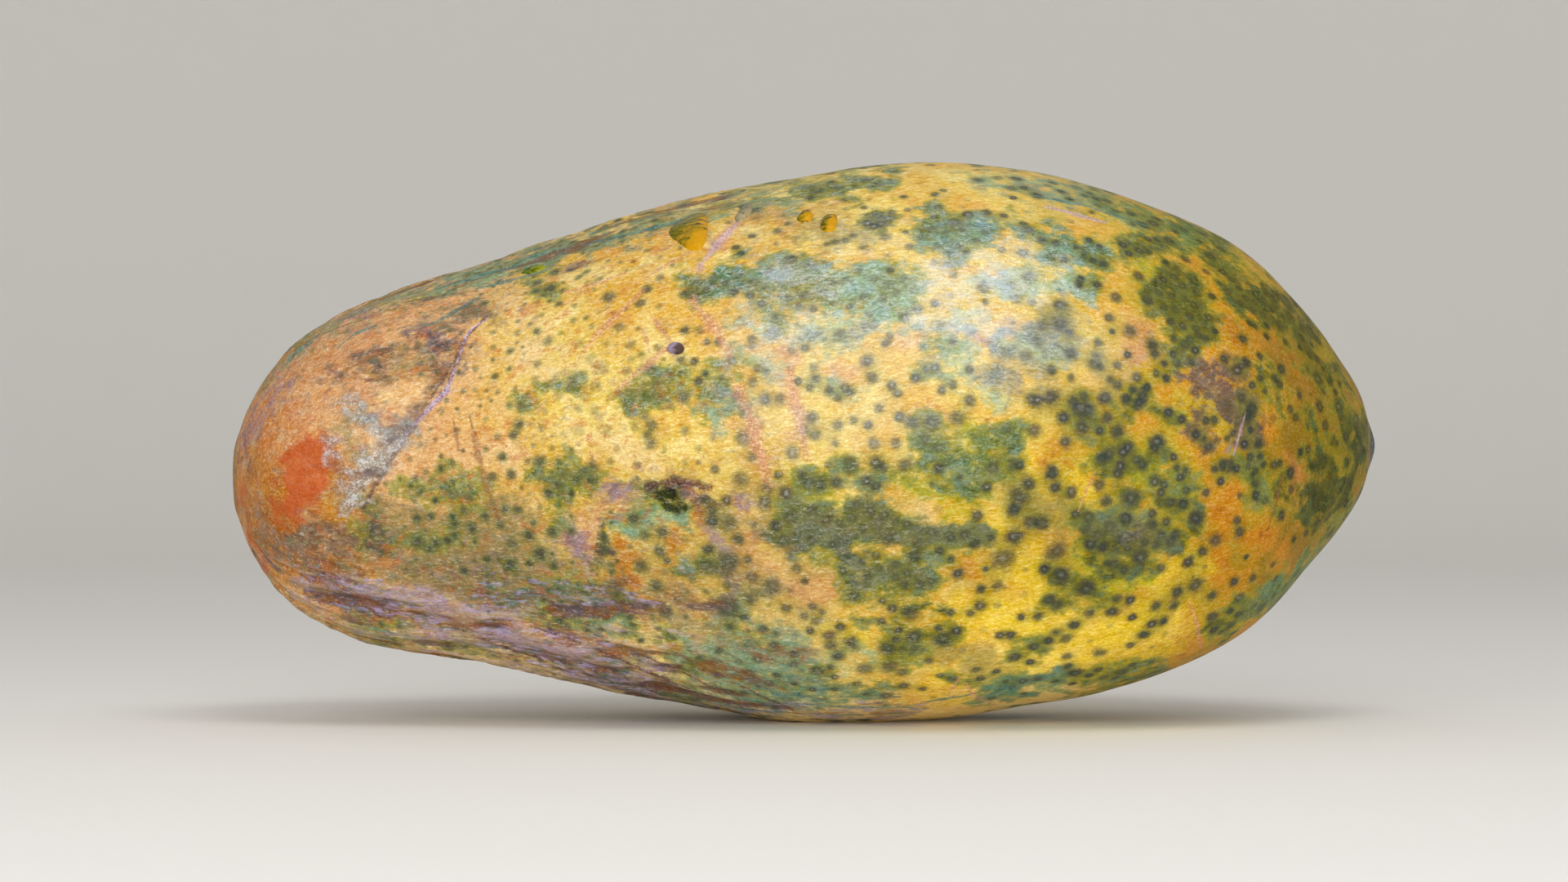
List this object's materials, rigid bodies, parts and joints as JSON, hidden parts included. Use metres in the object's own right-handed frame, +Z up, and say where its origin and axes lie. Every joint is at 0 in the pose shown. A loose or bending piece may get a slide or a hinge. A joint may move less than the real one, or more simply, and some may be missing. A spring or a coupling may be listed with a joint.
{
  "type": "papaya",
  "caption": "Whole ripe papaya, long and pear-shaped with a narrow neck, mottled yellow and green skin, lying on its side on a small flat spot.",
  "frame": {"origin": "middle of the small flat spot on the underside that the fruit rests on", "axes": "+X along the fruit from the stem end to the blossom end, +Z up from the surface that it lies on"},
  "size_m": [0.2796, 0.1365, 0.1365],
  "materials": {
    "skin": "waxy satin fruit skin, golden yellow mottled with green patches and dark specks"
  },
  "bodies": {
    "root": {"papaya": "skin"}
  },
  "joints": []
}
